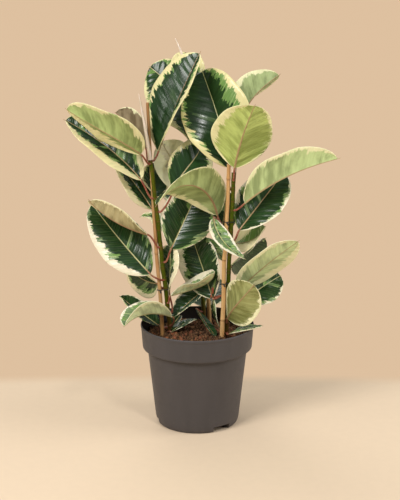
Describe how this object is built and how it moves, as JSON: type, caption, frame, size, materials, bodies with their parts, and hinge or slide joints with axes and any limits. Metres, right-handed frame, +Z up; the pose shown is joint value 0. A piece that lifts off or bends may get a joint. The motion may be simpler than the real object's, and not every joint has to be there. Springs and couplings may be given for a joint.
{
  "type": "potted rubber plant",
  "caption": "Staked rubber plant with cream-edged variegated leaves, growing in soil in a plain round nursery pot.",
  "frame": {"origin": "centre of the pot's flat underside, on the ground", "axes": "+Z up along the pot's axis, -Y towards the front"},
  "size_m": [0.4829, 0.3144, 0.7062],
  "materials": {
    "pot_plastic": "matt taupe-grey injection-moulded polypropylene",
    "soil": "loose brown peat and coir crumbs",
    "stem_bark": "smooth green bark, browner near the soil",
    "bamboo": "dry tan bamboo with darker nodes",
    "tie_wire": "black plastic-coated wire",
    "bud_sheath": "thin pale pink sheath of the growing tip",
    "leaf": "glossy leathery leaf, dark green with cream margins, paler and duller beneath, on a red petiole"
  },
  "bodies": {
    "root": {"bud_sheath_back": "bud_sheath", "bud_sheath_left": "bud_sheath", "bud_sheath_right": "bud_sheath", "cane_back": "bamboo", "cane_left": "bamboo", "cane_right": "bamboo", "leaf_back_01": "leaf", "leaf_back_02": "leaf", "leaf_back_03": "leaf", "leaf_back_04": "leaf", "leaf_back_05": "leaf", "leaf_back_06": "leaf", "leaf_back_07": "leaf", "leaf_back_08": "leaf", "leaf_back_09": "leaf", "leaf_back_10": "leaf", "leaf_back_11": "leaf", "leaf_left_01": "leaf", "leaf_left_02": "leaf", "leaf_left_03": "leaf", "leaf_left_04": "leaf", "leaf_left_05": "leaf", "leaf_left_06": "leaf", "leaf_left_07": "leaf", "leaf_left_08": "leaf", "leaf_left_09": "leaf", "leaf_left_10": "leaf", "leaf_left_11": "leaf", "leaf_left_12": "leaf", "leaf_left_13": "leaf", "leaf_left_14": "leaf", "leaf_left_15": "leaf", "leaf_left_16": "leaf", "leaf_left_17": "leaf", "leaf_left_18": "leaf", "leaf_right_01": "leaf", "leaf_right_02": "leaf", "leaf_right_03": "leaf", "leaf_right_04": "leaf", "leaf_right_05": "leaf", "leaf_right_06": "leaf", "leaf_right_07": "leaf", "leaf_right_08": "leaf", "leaf_right_09": "leaf", "leaf_right_10": "leaf", "leaf_right_11": "leaf", "leaf_right_12": "leaf", "leaf_right_13": "leaf", "leaf_right_14": "leaf", "leaf_right_15": "leaf", "pot": "pot_plastic", "potting_soil": "soil", "stem_back": "stem_bark", "stem_left": "stem_bark", "stem_right": "stem_bark", "tie_back_1": "tie_wire", "tie_back_2": "tie_wire", "tie_left_1": "tie_wire", "tie_right_1": "tie_wire", "tie_right_2": "tie_wire"}
  },
  "joints": []
}
